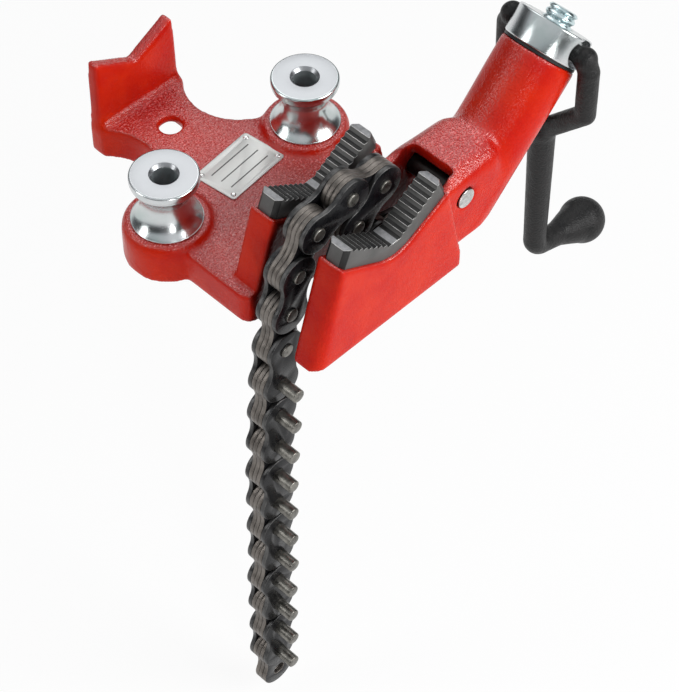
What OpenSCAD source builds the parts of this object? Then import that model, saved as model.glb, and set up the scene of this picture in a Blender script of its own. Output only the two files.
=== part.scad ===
// Bench chain pipe vise with two bending spools and a pipe rest.
// X = 0 is the middle of the jaws, Y = 0 the line of the two bench bolts, Z = 0 the flat underside.

/* [Foot plate] */
// Thickness of the foot plate
plate_t = 21; // [17:0.5:24]
// Distance from the middle to each bench bolt
bolt_x = 52; // [49:0.5:58]
// Radius of the three bolt holes
bolt_r = 6.5; // [4:0.25:8]
// Radius of a bolt boss at its top
boss_r = 24; // [22.5:0.5:26]
// Extra radius of a bolt boss at its foot
boss_draft = 1; // [0.5:0.25:3]
// Height of a bolt boss above the plate
boss_h = 4.3; // [2.5:0.1:7]
// Distance from the bolt line to the rear bolt hole
rear_hole_y = 54.4; // [48:0.5:58]
// Radius of the rounded rim round the rear bolt hole
rear_rim_r = 8.6; // [8.2:0.1:11]
// Half width of the plate at the slot
foot_half_w = 60.5; // [56:0.5:63]
// Half width of the plate at the pipe rest
tail_half_w = 31; // [29:0.5:33]
// Radius of the hollow on each side of the tail
scoop_r = 31.8; // [28:0.2:32]
// Distance from the middle to the centre of a side hollow
scoop_x = 52.2; // [51:0.2:56]
// Distance from the bolt line to the centre of a side hollow
scoop_y = 53.5; // [52:0.5:56]

/* [Pipe rest] */
// Distance from the bolt line to the front of the pipe rest
rest_y = 79.6; // [76:0.2:90]
// Thickness of the pipe rest
rest_t = 8; // [6:0.5:12]
// Height of the bottom of its V
rest_v_z = 51; // [44:0.5:60]
// Slope of each side of its V
rest_slope = 28; // [20:1:38]
// Half width of the pipe rest at its tips
rest_half_w = 28.5; // [23:0.5:29]
// Rounding of its tips
rest_tip_r = 3.5; // [1.5:0.25:4.5]

/* [Bending spools] */
// Height of a spool
spool_h = 33.2; // [28:0.2:40]
// Radius of the top rim
spool_rim_r = 19.1; // [17:0.1:21]
// Radius of the bottom flange
spool_flange_r = 19.9; // [17:0.1:22]
// Radius at the waist
spool_waist_r = 13; // [11.5:0.1:15]
// Height of the straight edge of the top rim
spool_rim_h = 4.2; // [3:0.1:6]
// Height of the straight edge of the bottom flange
spool_flange_h = 1.2; // [0.8:0.1:2.5]
// Radius of the spigot that turns in the boss
spigot_r = 10.5; // [9.5:0.1:11.5]
// Length of the spigot
spigot_h = 5; // [3:0.25:8]

/* [Jaws and slot] */
// Distance from the bolt line to the middle of the chain slot
chain_y = -86.5; // [-95:0.5:-80]
// Width of the chain slot
slot_w = 31; // [29:0.5:32]
// Thickness of the wall on each side of the slot
wall_t = 18; // [16:0.5:20]
// Height of the bottom of the jaws' V
jaw_z = 56; // [52:0.5:60]
// Thickness of a jaw
jaw_t = 13.7; // [10:0.1:15]
// Slope of each side of the jaws' V
jaw_slope = 33; // [28:0.5:36]
// Distance from the middle to the start of a jaw's tip
jaw_tip_x = 31; // [28:0.5:33]
// Distance from the middle to the end of a jaw's tip
jaw_tip_end_x = 35; // [34:0.5:37]
// Distance from the middle to a jaw's lower outer corner
jaw_end_x = 39; // [38:0.5:40]
// Depth of a jaw below the bottom of its V
jaw_depth = 12; // [10:0.5:14]
// Half width of the flat at the bottom of the V
jaw_flat = 2.1; // [1:0.1:4]
// Number of teeth on each side of the V
tooth_count = 8; // [4:1:10]
// Depth of the teeth
tooth_h = 1.9; // [0.8:0.1:2.6]

/* [Arm] */
// Angle of the arm above the bench
arm_angle = 45; // [42:0.5:48]
// Place on the underside where the arm's axis leaves it
arm_foot_x = 72.8; // [70:0.2:76]
// Distance along the axis from there to the end of the tube
arm_len = 102; // [90:1:120]
// Radius of the arm's tube
tube_r = 22.3; // [21:0.1:24]
// Radius of the bore for the screw and the chain
tube_bore_r = 16; // [15.7:0.1:17]
// Half width of the arm's root
root_half_w = 22; // [20.5:0.25:23]
// Height of the arm's root at its sides
root_side_z = 46; // [43:0.5:50]
// Height of the arm's root at its ridge
root_ridge_z = 52; // [51:0.5:56]
// Half width of the flat on the ridge
root_ridge_half_w = 15; // [12:0.5:17]
// Start of the roof over the chain channel
mouth_x = 62; // [58:0.5:66]
// Thickness of that roof
roof_t = 7.5; // [5:0.5:10]

/* [Guide pin] */
// Radius of the cross pin in the arm's root
guide_r = 6; // [4:0.25:7]
// Distance from the middle to the cross pin
guide_x = 65.5; // [63:0.5:68]
// Height of the cross pin
guide_z = 33; // [31:0.5:36]

/* [Nut and screw] */
// Radius of the round nut
nut_r = 22.6; // [21:0.1:25]
// Height of the round nut
nut_h = 17.2; // [15:0.2:24]
// Radius of the screw over its threads
screw_r = 8.9; // [7:0.1:10]
// Pitch of the screw thread
thread_pitch = 4; // [3:0.25:5]
// Length of screw that shows past the nut
screw_proud = 8.4; // [4:0.2:16]
// Distance along the axis to the screw's eye
eye_s = 14; // [8:0.5:18]
// Thickness of the thrust washer
washer_t = 1.4; // [0.8:0.1:2.5]

/* [Handle] */
// Radius of a fork tine
tine_r = 6.2; // [5:0.1:7]
// Length from the pivot to where the fork's tines turn in
tine_len = 40; // [30:0.5:50]
// Length from there down to where they meet the rod
yoke_len = 32; // [26:0.5:40]
// Radius of the pivot stubs at the fork's ends
stub_r = 5; // [3.5:0.1:5.5]
// Radius of the rod under the fork
rod_top_r = 8.1; // [7:0.1:9]
// Radius of the rod at its bend
rod_end_r = 6.9; // [5.5:0.1:7.5]
// Length from the pivot to the middle of the bend
handle_len = 175; // [150:1:200]
// Length from the rod to the centre of the ball grip
grip_len = 48.5; // [42:0.5:65]
// Radius of the ball grip
ball_r = 14.5; // [12:0.1:16]
// Lean of the hanging handle away from the arm
handle_lean = 2; // [0:0.5:8]
// Droop of the grip below square to the rod
grip_droop = 16; // [0:1:20]

/* [Chain] */
// Pitch of the chain
pitch = 25.4; // [25:0.1:25.8]
// Radius of a link plate's round ends
link_r = 12; // [11:0.1:12.1]
// Half width of a link plate's waist
waist_half_w = 9; // [7:0.1:9.4]
// Thickness of a link plate
link_t = 2.8; // [2:0.1:3]
// Radius of the chain pins
chain_pin_r = 4; // [3:0.1:4.4]
// Length of a long pin past the outer plate, on the open side
pin_long = 12.5; // [6:0.5:14]
// Length of a short pin past the outer plate
pin_short = 1; // [0.5:0.1:2]

/* [Nameplate] */
// Length of the nameplate
name_w = 43.5; // [36:0.5:44.5]
// Width of the nameplate
name_h = 28.8; // [22:0.2:30]
// Thickness of the nameplate
name_t = 0.8; // [0.5:0.1:1.5]
// Turn of the nameplate on the plate
name_turn = 6; // [0:1:8]

/* [Hidden] */
$fn = 96;
// Overrun of every cut
over = 1;
// Radial clearance of pieces that turn in a bore
run_gap = 0.05;
// Gap between flat faces that move on each other
face_gap = 0.15;
// Air left round pieces that swing past each other
swing_gap = 0.5;

// Foot plate and bosses
boss_z = plate_t + boss_h;
rim_step = 0.8;
boss_foot_r = boss_r + boss_draft;
rest_back_y = rest_y + rest_t;
tail_start_y = scoop_y + sqrt(pow(scoop_r, 2) - pow(scoop_x - tail_half_w, 2));
side_mid_share = 0.8;
rest_tip_z = rest_v_z + rest_half_w * tan(rest_slope);
rest_foot_h = 4;
rest_foot_d = 3.7;
// The tail is hollow below its web, inside a skirt
web_t = 6;
skirt_t = 4.5;
pocket_r = scoop_x - scoop_r - skirt_t;

// Walls beside the slot
rear_wall_y = chain_y + slot_w / 2;
front_wall_y = chain_y - slot_w / 2;
wall_foot_left = foot_half_w;
wall_foot_right = 51;
wall_foot_step = 11;
wall_shoulder = 1.5;
jaw_rise = (jaw_tip_x - jaw_flat) * tan(jaw_slope);
jaw_tip_z = jaw_z + jaw_rise;
jaw_end_drop = 9.8;
jaw_end_z = jaw_tip_z - jaw_end_drop;
seat_slope = atan((jaw_end_z - jaw_z + jaw_depth) / jaw_end_x);
seat_arc_r = 24;
seat_steps = 8;

// Teeth along each side of a jaw's V
tooth_step = (jaw_tip_x - jaw_flat) / tooth_count;
tooth_back_share = 0.25;

// Dowels that fix the jaws in their seats
dowel_r = 2.5;
dowel_len = 12;
dowel_x = 20;
dowel_sink = 6;

// Arm and its channel
arm_tilt = 90 - arm_angle;
roof_z = root_ridge_z - roof_t;
root_x = jaw_end_x;
ridge_end_x = arm_foot_x + (root_ridge_z - tube_r / cos(arm_angle)) / tan(arm_angle);
channel_w = 2 * tube_bore_r - over;
root_slope_x = 11;
guide_proud = 0.6;

// Nut, washer and screw
washer_r = tube_r - swing_gap;
washer_bore_r = 12;
nut_s = arm_len + washer_t + face_gap;
nut_bevel = 1.2;
pivot_s = nut_s + nut_h / 2;
pivot_x = arm_foot_x + pivot_s * cos(arm_angle);
pivot_z = pivot_s * sin(arm_angle);
recess_r = 9;
recess_d = 4;
stub_sink = 6;
thread_h = 1.3;
thread_crest_share = 0.3;
screw_bevel = 1.4;
thread_start = 26;
tongue_r = 11;
tongue_half_t = 4;

// Handle
tine_y = nut_r + swing_gap + tine_r;
eye_r = 7;
shoulder_len = 7.5;
knuckle_r = 8.8;
bend_r = 9;
bend_swell = 0.1;
grip_neck_r = 7.6;
grip_neck_share = 0.45;
grip_cone_r = 12.4;

// Chain layers, from the middle outwards
plate_air = 0.15;
inner_half = 1.5 * link_t + plate_air;
outer_from = inner_half + plate_air;
outer_to = outer_from + link_t;
waist_cut_r = (pow(pitch / 2, 2) + pow(waist_half_w, 2) - pow(link_r, 2)) / (2 * (link_r - waist_half_w));
// Headings of the links from the screw's eye to the free end, 0 along +X and 90 upwards
HEADINGS = [185, 165, 144, 124, 39.5, 162, 197, 236, 256, 261, 262,
    266, 266, 267, 269, 269, 270, 267, 270, 270, 269, 273];
link_count = len(HEADINGS);
// Number of pins before the run of long pins that hook behind a wall
short_pin_count = 11;
eye_x = arm_foot_x + eye_s * cos(arm_angle);
eye_z = eye_s * sin(arm_angle);

// Nameplate and its rivets
name_gap = 0.3;
name_y = 3;
name_room = boss_foot_r + name_gap + name_w / 2 + name_y * sin(name_turn);
name_x = bolt_x - name_room / cos(name_turn);
name_corner_r = 2;
rivet_inset = 3;
rivet_r = 1;
rivet_head_r = 1.7;
rivet_head_h = 0.7;
rivet_sink = 3;

// Place of chain pin i, where pin 0 is the screw's eye
function pin_at(i) = i == 0 ? [eye_x, eye_z]
    : pin_at(i - 1) + pitch * [cos(HEADINGS[i - 1]), sin(HEADINGS[i - 1])];

// Puts its children on the arm's axis, s along it, with Z along the axis
module on_arm(s) {
    translate([arm_foot_x, chain_y, 0]) rotate([0, arm_tilt, 0]) translate([0, 0, s]) children();
}

// Stands an XZ outline upright between two Y values
module upright(y_from, y_to) {
    translate([0, y_to, 0]) rotate([90, 0, 0]) linear_extrude(y_to - y_from) children();
}

// Round bar along Y through a point of the XZ plane
module cross_bar(x, z, r, y_from, y_to) {
    translate([x, y_from, z]) rotate([-90, 0, 0]) cylinder(h = y_to - y_from, r = r);
}

// Foot plate from above, without its holes
module plate_outline() {
    side_y = -boss_r * side_mid_share;
    difference() {
        union() {
            for (side = [-1, 1]) translate([side * bolt_x, 0]) circle(boss_foot_r);
            polygon([
                [-foot_half_w, rear_wall_y], [-foot_half_w, side_y], [-bolt_x, 0], [-scoop_x, scoop_y],
                [-tail_half_w, tail_start_y], [-tail_half_w, rest_back_y],
                [tail_half_w, rest_back_y], [tail_half_w, tail_start_y],
                [scoop_x, scoop_y], [bolt_x, 0], [foot_half_w, side_y], [foot_half_w, rear_wall_y]]);
        }
        for (side = [-1, 1]) translate([side * scoop_x, scoop_y]) circle(scoop_r);
    }
}

// Front view of the pipe rest
module rest_outline() {
    tip_z = rest_tip_z - rest_tip_r;
    difference() {
        union() {
            polygon([[-tail_half_w, 0], [tail_half_w, 0], [rest_half_w, tip_z], [-rest_half_w, tip_z]]);
            for (side = [-1, 1]) translate([side * (rest_half_w - rest_tip_r), tip_z]) circle(rest_tip_r);
            translate([-rest_half_w + rest_tip_r, tip_z]) square([2 * (rest_half_w - rest_tip_r), rest_tip_r]);
        }
        polygon([[0, rest_v_z], [rest_half_w, rest_tip_z], [rest_half_w, rest_tip_z + over],
            [-rest_half_w, rest_tip_z + over], [-rest_half_w, rest_tip_z]]);
    }
}

// Rounded bottom that a jaw and its seat share, from left to right
function seat_arc() = [for (i = [0:seat_steps]) let(a = seat_slope * (2 * i / seat_steps - 1))
    [seat_arc_r * sin(a), jaw_z - jaw_depth + seat_arc_r / cos(seat_slope) - seat_arc_r * cos(a)]];

// Seat that a jaw fills, seen along Y; reach lifts its top clear of the wall
module jaw_seat_outline(reach) {
    polygon(concat(seat_arc(), [[jaw_end_x, jaw_end_z], [jaw_end_x, jaw_end_z + reach],
        [-jaw_end_x, jaw_end_z + reach], [-jaw_end_x, jaw_end_z]]));
}

// Wall beside the slot, seen along Y
module wall_outline() {
    polygon([[-wall_foot_left, 0], [wall_foot_right, 0], [wall_foot_right, wall_foot_step],
        [jaw_end_x, jaw_end_z], [jaw_end_x, jaw_end_z + wall_shoulder],
        [-jaw_end_x - wall_shoulder, jaw_end_z + wall_shoulder]]);
}

// Root of the arm between its side faces, seen along Y
module root_outline(top_z) {
    polygon([[root_x, 0], [arm_foot_x, 0], [arm_foot_x + top_z / tan(arm_angle), top_z],
        [root_x + root_slope_x, top_z], [root_x, jaw_z]]);
}

// Space for the chain in the arm's root, open below and open above left of the mouth
module channel_outline() {
    polygon([[root_x - over, -over], [arm_foot_x - over / tan(arm_angle), -over],
        [arm_foot_x + roof_z / tan(arm_angle), roof_z], [mouth_x, roof_z],
        [mouth_x, jaw_tip_z], [root_x - over, jaw_tip_z]]);
}

// Arm's outside: root block, ridge and tube
module arm_body() {
    half = root_half_w;
    intersection() {
        union() {
            on_arm(-arm_len) cylinder(h = 2 * arm_len, r = tube_r);
            upright(chain_y - half, chain_y + half) intersection() {
                root_outline(root_side_z);
                translate([root_x, 0]) square([ridge_end_x - root_x, root_side_z]);
            }
            hull() {
                upright(chain_y - half, chain_y + half) translate([root_x + root_slope_x, root_side_z - over])
                    square([ridge_end_x - root_x - root_slope_x, over]);
                upright(chain_y - root_ridge_half_w, chain_y + root_ridge_half_w)
                    translate([mouth_x - roof_t / 2, root_ridge_z - over])
                        square([ridge_end_x - mouth_x + roof_t / 2, over]);
            }
        }
        translate([root_x, chain_y - arm_len, 0]) cube([2 * arm_len, 2 * arm_len, 2 * arm_len]);
    }
}

// One of the two bosses that carry a spool
module boss() {
    cylinder(h = plate_t, r = boss_foot_r);
    translate([0, 0, plate_t]) cylinder(h = boss_h - rim_step, r1 = boss_foot_r, r2 = boss_r);
    translate([0, 0, boss_z - rim_step]) cylinder(h = rim_step, r1 = boss_r, r2 = boss_r - rim_step);
}

// Places of the nameplate's rivets, on the nameplate's own axes
module at_rivets() {
    dx = name_w / 2 - rivet_inset;
    dy = name_h / 2 - rivet_inset;
    translate([name_x, name_y, plate_t]) rotate(name_turn)
        for (sx = [-1, 1]) for (sy = [-1, 1]) translate([sx * dx, sy * dy, 0]) children();
}

// Dowels, half in a jaw and half in its seat, square to the underside of the V
module at_dowels() {
    seat_z = jaw_z - jaw_depth + dowel_x * tan(seat_slope);
    for (wall_y = [rear_wall_y + wall_t / 2, front_wall_y - wall_t / 2]) for (side = [-1, 1])
        translate([side * dowel_x, wall_y, seat_z]) rotate([0, -side * seat_slope, 0])
            translate([0, 0, -dowel_sink]) children();
}

// Main casting: foot plate, bosses, pipe rest, slot walls and arm
module base_casting() {
    color("red") difference() {
        union() {
            linear_extrude(plate_t) plate_outline();
            for (side = [-1, 1]) translate([side * bolt_x, 0, 0]) boss();
            upright(rest_y, rest_back_y) rest_outline();
            translate([0, rest_y, plate_t]) rotate([90, 0, 90])
                linear_extrude(2 * rest_half_w, center = true)
                    polygon([[0, 0], [-rest_foot_d, 0], [0, rest_foot_h]]);
            upright(rear_wall_y, rear_wall_y + wall_t) wall_outline();
            upright(front_wall_y - wall_t, front_wall_y) wall_outline();
            arm_body();
        }
        on_arm(-arm_len) cylinder(h = 2 * arm_len + over, r = tube_bore_r);
        upright(chain_y - channel_w / 2, chain_y + channel_w / 2) channel_outline();
        translate([-foot_half_w - over, front_wall_y, -over])
            cube([foot_half_w + root_x + over, slot_w, jaw_tip_z]);
        for (wall_y = [rear_wall_y, front_wall_y - wall_t])
            upright(wall_y - over, wall_y + wall_t + over) jaw_seat_outline(jaw_rise);
        for (side = [-1, 1]) translate([side * bolt_x, 0, -over]) {
            cylinder(h = boss_z + 2 * over, r = bolt_r);
            translate([0, 0, boss_z - spigot_h - face_gap + over])
                cylinder(h = spigot_h + face_gap + over, r = spigot_r + run_gap);
        }
        translate([0, rear_hole_y, -over]) cylinder(h = plate_t + 2 * over, r = bolt_r);
        for (y = [rear_hole_y, rest_back_y - skirt_t - pocket_r])
            translate([0, y, -over]) cylinder(h = plate_t - web_t + over, r = pocket_r);
        translate([0, rear_hole_y, plate_t - rim_step]) cylinder(h = rim_step, r1 = bolt_r, r2 = rear_rim_r);
        cross_bar(guide_x, guide_z, guide_r, chain_y - root_half_w - tube_r, chain_y + root_half_w + tube_r);
        at_rivets() translate([0, 0, -rivet_sink]) cylinder(h = rivet_sink + over, r = rivet_r);
        at_dowels() cylinder(h = dowel_len, r = dowel_r);
    }
}

// Toothed outline of a jaw, seen along Y; side is -1 for the left arm of the V
function tooth_points(side) = [for (i = [0:tooth_count - 1]) let(
        x = jaw_flat + i * tooth_step,
        z = jaw_z + i * tooth_step * tan(jaw_slope),
        back = tooth_step * (1 - tooth_back_share))
    each [[side * x, z],
        [side * (x + back), z + back * tan(jaw_slope) - tooth_h]]];

module jaw_outline() {
    right = tooth_points(1);
    left = tooth_points(-1);
    polygon(concat(seat_arc(), [[jaw_end_x, jaw_end_z], [jaw_tip_end_x, jaw_tip_z], [jaw_tip_x, jaw_tip_z]],
        [for (i = [len(right) - 1:-1:0]) right[i]], left,
        [[-jaw_tip_x, jaw_tip_z], [-jaw_tip_end_x, jaw_tip_z], [-jaw_end_x, jaw_end_z]]));
}

module jaw(wall_mid_y) {
    color("dimgray") difference() {
        upright(wall_mid_y - jaw_t / 2, wall_mid_y + jaw_t / 2) jaw_outline();
        at_dowels() cylinder(h = dowel_len, r = dowel_r);
    }
}

module rear_jaw() {
    jaw(rear_wall_y + wall_t / 2);
}

module front_jaw() {
    jaw(front_wall_y - wall_t / 2);
}

module jaw_dowels() {
    color("gray") at_dowels() cylinder(h = dowel_len, r = dowel_r);
}

// Spool: rim, concave waist, flange and the spigot that turns in the boss
module bending_spool(side) {
    waist_top = spool_h - spool_rim_h;
    groove_h = waist_top - spool_flange_h;
    groove_d = spool_flange_r - spool_waist_r;
    groove_r = (pow(groove_h / 2, 2) + pow(groove_d, 2)) / (2 * groove_d);
    bevel = spool_rim_h / 4;
    color("silver") translate([side * bolt_x, 0, boss_z + face_gap]) difference() {
        union() {
            rotate_extrude() difference() {
                polygon([[0, 0], [spool_flange_r, 0], [spool_flange_r, spool_flange_h],
                    [spool_rim_r, waist_top], [spool_rim_r, spool_h - bevel],
                    [spool_rim_r - bevel, spool_h], [0, spool_h]]);
                translate([spool_waist_r + groove_r, spool_flange_h + groove_h / 2]) circle(groove_r);
            }
            translate([0, 0, -spigot_h]) cylinder(h = spigot_h + over, r = spigot_r);
        }
        translate([0, 0, -spigot_h - over]) cylinder(h = spool_h + spigot_h + 2 * over, r = bolt_r);
        translate([0, 0, spool_h - (rear_rim_r - bolt_r)])
            cylinder(h = rear_rim_r - bolt_r + over, r1 = bolt_r, r2 = rear_rim_r + over);
    }
}

module nameplate() {
    color("gainsboro") difference() {
        translate([name_x, name_y, plate_t]) rotate(name_turn) linear_extrude(name_t) union() {
            square([name_w - 2 * name_corner_r, name_h], center = true);
            square([name_w, name_h - 2 * name_corner_r], center = true);
            for (sx = [-1, 1]) for (sy = [-1, 1])
                translate([sx * (name_w / 2 - name_corner_r), sy * (name_h / 2 - name_corner_r)])
                    circle(name_corner_r);
        }
        at_rivets() translate([0, 0, -over]) cylinder(h = name_t + 2 * over, r = rivet_r);
    }
}

module nameplate_rivets() {
    color("silver") at_rivets() {
        translate([0, 0, -rivet_sink]) cylinder(h = rivet_sink + name_t, r = rivet_r);
        translate([0, 0, name_t]) cylinder(h = rivet_head_h, r1 = rivet_head_r, r2 = rivet_r);
    }
}

module guide_pin() {
    half = root_half_w + guide_proud;
    color("silver") cross_bar(guide_x, guide_z, guide_r, chain_y - half, chain_y + half);
}

module thrust_washer() {
    color("black") on_arm(arm_len) difference() {
        cylinder(h = washer_t, r = washer_r);
        translate([0, 0, -over]) cylinder(h = washer_t + 2 * over, r = washer_bore_r);
    }
}

// Round nut with a hollow and a blind hole on each side for the handle's stubs
module handle_nut() {
    color("silver") difference() {
        on_arm(nut_s) difference() {
            union() {
                cylinder(h = nut_bevel, r1 = nut_r - nut_bevel, r2 = nut_r);
                translate([0, 0, nut_bevel]) cylinder(h = nut_h - 2 * nut_bevel, r = nut_r);
                translate([0, 0, nut_h - nut_bevel]) cylinder(h = nut_bevel, r1 = nut_r, r2 = nut_r - nut_bevel);
            }
            translate([0, 0, -over]) cylinder(h = nut_h + 2 * over, r = screw_r + run_gap);
        }
        for (side = [-1, 1]) translate([pivot_x, chain_y, pivot_z]) rotate([-90 * side, 0, 0]) {
            translate([0, 0, nut_r - recess_d]) cylinder(h = recess_d + over, r = recess_r);
            translate([0, 0, nut_r - recess_d - stub_sink])
                cylinder(h = stub_sink + over, r = stub_r + run_gap);
        }
    }
}

// Half section of the threaded rod from its shoulder to its tip
module thread_section() {
    first = thread_start;
    last = nut_s + nut_h + screw_proud - eye_s;
    root_r = screw_r - thread_h;
    crest = thread_pitch * thread_crest_share;
    flank = (thread_pitch - crest) / 2;
    last_root = last - screw_bevel - flank;
    turns = floor((last_root - first) / thread_pitch);
    polygon(concat([[0, first], [root_r, first]],
        [for (i = [turns:-1:1]) let(z = last_root - i * thread_pitch)
            each [[root_r, z], [screw_r, z + flank], [screw_r, z + flank + crest]]],
        [[root_r, last_root], [screw_r, last - screw_bevel], [screw_r - screw_bevel, last], [0, last]]));
}

// Screw with a flat tongue whose eye holds the first chain pin
module chain_screw() {
    color("silver") on_arm(eye_s) difference() {
        union() {
            rotate_extrude() thread_section();
            intersection() {
                union() {
                    translate([0, tongue_half_t, 0]) rotate([90, 0, 0])
                        cylinder(h = 2 * tongue_half_t, r = tongue_r);
                    translate([-tongue_r, -tongue_half_t, 0])
                        cube([2 * tongue_r, 2 * tongue_half_t, thread_start + over]);
                }
                union() {
                    translate([0, tongue_half_t, 0]) rotate([90, 0, 0])
                        cylinder(h = 2 * tongue_half_t, r = tongue_r);
                    cylinder(h = thread_start + over, r = tongue_r);
                }
            }
        }
        cross_hole = chain_pin_r + run_gap;
        translate([0, outer_to, 0]) rotate([90, 0, 0]) cylinder(h = 2 * outer_to, r = cross_hole);
    }
}

// Round bar between two points of the YZ plane
module bar_in_yz(y_from, z_from, y_to, z_to, r) {
    run = y_to - y_from;
    rise = z_to - z_from;
    translate([0, y_from, z_from]) rotate([-atan2(run, rise), 0, 0])
        cylinder(h = sqrt(pow(run, 2) + pow(rise, 2)), r = r);
}

// Crank handle: fork with pivot stubs, rod, bend and ball grip
module crank_handle() {
    stub_from = nut_r - recess_d - stub_sink + face_gap;
    eye_y = nut_r - recess_d + swing_gap + eye_r;
    rod_from = tine_len + yoke_len;
    turn = 90 - grip_droop;
    color("#2b2b2b") translate([pivot_x, chain_y, pivot_z]) rotate([0, -handle_lean, 0]) {
        for (side = [-1, 1]) {
            rotate([-90 * side, 0, 0]) translate([0, 0, stub_from]) cylinder(h = eye_y - stub_from, r = stub_r);
            translate([0, side * eye_y, 0]) sphere(eye_r);
            bar_in_yz(side * eye_y, 0, side * tine_y, -shoulder_len, tine_r);
            translate([0, side * tine_y, -shoulder_len]) sphere(tine_r + bend_swell);
            translate([0, side * tine_y, -tine_len]) cylinder(h = tine_len - shoulder_len, r = tine_r);
            translate([0, side * tine_y, -tine_len]) sphere(tine_r + bend_swell);
            bar_in_yz(side * tine_y, -tine_len, 0, -rod_from, tine_r);
        }
        translate([0, 0, -rod_from]) sphere(knuckle_r);
        translate([0, 0, bend_r - handle_len])
            cylinder(h = handle_len - bend_r - rod_from, r1 = rod_end_r, r2 = rod_top_r);
        translate([bend_r, 0, bend_r - handle_len]) rotate([90, 0, 0]) rotate([0, 0, 180])
            rotate_extrude(angle = turn) translate([bend_r, 0]) circle(rod_end_r + bend_swell);
        translate([bend_r, 0, bend_r - handle_len]) rotate([0, -turn, 0]) translate([-bend_r, 0, bend_swell])
            rotate([180, 0, 0]) grip();
    }
}

// Pear-shaped grip along +Z from the end of the bend
module grip() {
    reach = grip_len - bend_r - ball_r / 2;
    neck = reach * grip_neck_share;
    cylinder(h = neck, r1 = rod_end_r, r2 = grip_neck_r);
    translate([0, 0, neck]) cylinder(h = reach - neck, r1 = grip_neck_r, r2 = grip_cone_r);
    translate([0, 0, grip_len - bend_r]) sphere(ball_r);
}

// Link plate in the XZ plane, from the origin along +X
module link_plate(thick, hole_r) {
    tx = link_r * (pitch / 2) / (link_r + waist_cut_r);
    tz = link_r * (waist_half_w + waist_cut_r) / (link_r + waist_cut_r);
    rotate([90, 0, 0]) linear_extrude(thick, center = true) difference() {
        union() {
            circle(link_r);
            translate([pitch, 0]) circle(link_r);
            difference() {
                polygon([[tx, -tz], [pitch - tx, -tz], [pitch - tx, tz], [tx, tz]]);
                for (side = [-1, 1]) translate([pitch / 2, side * (waist_half_w + waist_cut_r)])
                    circle(waist_cut_r);
            }
        }
        circle(hole_r);
        translate([pitch, 0]) circle(hole_r);
    }
}

// Puts its children at pin i, turned along link i
module on_link(i) {
    translate([pin_at(i)[0], chain_y, pin_at(i)[1]]) rotate([0, -HEADINGS[i], 0]) children();
}

// Outer link k joins pins 2k - 2 and 2k - 1 with one plate on each side
module chain_outer_link(k) {
    color("#303030") on_link(2 * k - 2) for (side = [-1, 1])
        translate([0, side * (outer_from + link_t / 2), 0]) link_plate(link_t, chain_pin_r);
}

// Inner link k joins pins 2k - 1 and 2k with three plates side by side
module chain_inner_link(k) {
    color("#6a6662") on_link(2 * k - 1) for (layer = [-1:1])
        translate([0, layer * (link_t + plate_air), 0]) link_plate(link_t, chain_pin_r + run_gap);
}

// The two pins of outer link k; the later ones stand out on the open side
module chain_pins(k) {
    color("#4a4a4a") for (i = [2 * k - 2, 2 * k - 1]) let(p = pin_at(i)) {
        reach = i < short_pin_count ? pin_short : pin_long;
        cross_bar(p[0], p[1], chain_pin_r, chain_y - outer_to - reach, chain_y + outer_to + pin_short);
    }
}

base_casting();
rear_jaw();
front_jaw();
jaw_dowels();
bending_spool(-1);  // bending_spool_left
bending_spool(1);  // bending_spool_right
nameplate();
nameplate_rivets();
guide_pin();
thrust_washer();
handle_nut();
chain_screw();
crank_handle();
for (k = [1:11]) {
    number = str(k < 10 ? "0" : "", k);
    chain_outer_link(k);
    chain_pins(k);
    chain_inner_link(k);
}
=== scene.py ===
# Bench chain pipe vise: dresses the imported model's pieces with their shapes and finishes.
import math

import bmesh
import bpy
from mathutils import Matrix, Vector


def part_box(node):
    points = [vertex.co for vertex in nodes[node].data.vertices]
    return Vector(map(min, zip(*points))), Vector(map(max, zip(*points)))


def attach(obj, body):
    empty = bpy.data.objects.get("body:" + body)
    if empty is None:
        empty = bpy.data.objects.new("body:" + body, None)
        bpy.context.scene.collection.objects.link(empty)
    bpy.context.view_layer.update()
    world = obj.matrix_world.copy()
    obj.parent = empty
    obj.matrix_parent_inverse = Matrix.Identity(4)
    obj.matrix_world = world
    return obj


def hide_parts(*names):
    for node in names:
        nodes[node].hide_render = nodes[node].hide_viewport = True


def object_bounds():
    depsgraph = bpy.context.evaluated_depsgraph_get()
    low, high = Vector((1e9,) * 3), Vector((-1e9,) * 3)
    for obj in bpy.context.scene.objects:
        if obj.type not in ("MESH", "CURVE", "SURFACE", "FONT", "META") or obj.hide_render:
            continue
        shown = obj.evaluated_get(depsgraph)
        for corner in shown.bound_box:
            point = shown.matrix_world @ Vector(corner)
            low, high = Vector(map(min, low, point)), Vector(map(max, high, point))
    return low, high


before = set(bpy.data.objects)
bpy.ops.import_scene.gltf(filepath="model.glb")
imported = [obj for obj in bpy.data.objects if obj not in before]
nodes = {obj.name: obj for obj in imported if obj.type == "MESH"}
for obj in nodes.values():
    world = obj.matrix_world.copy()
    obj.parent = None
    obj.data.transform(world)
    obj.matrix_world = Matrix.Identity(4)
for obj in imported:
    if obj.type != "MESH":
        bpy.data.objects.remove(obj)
cad_box = [list(corner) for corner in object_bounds()]
mm = 0.001

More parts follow.
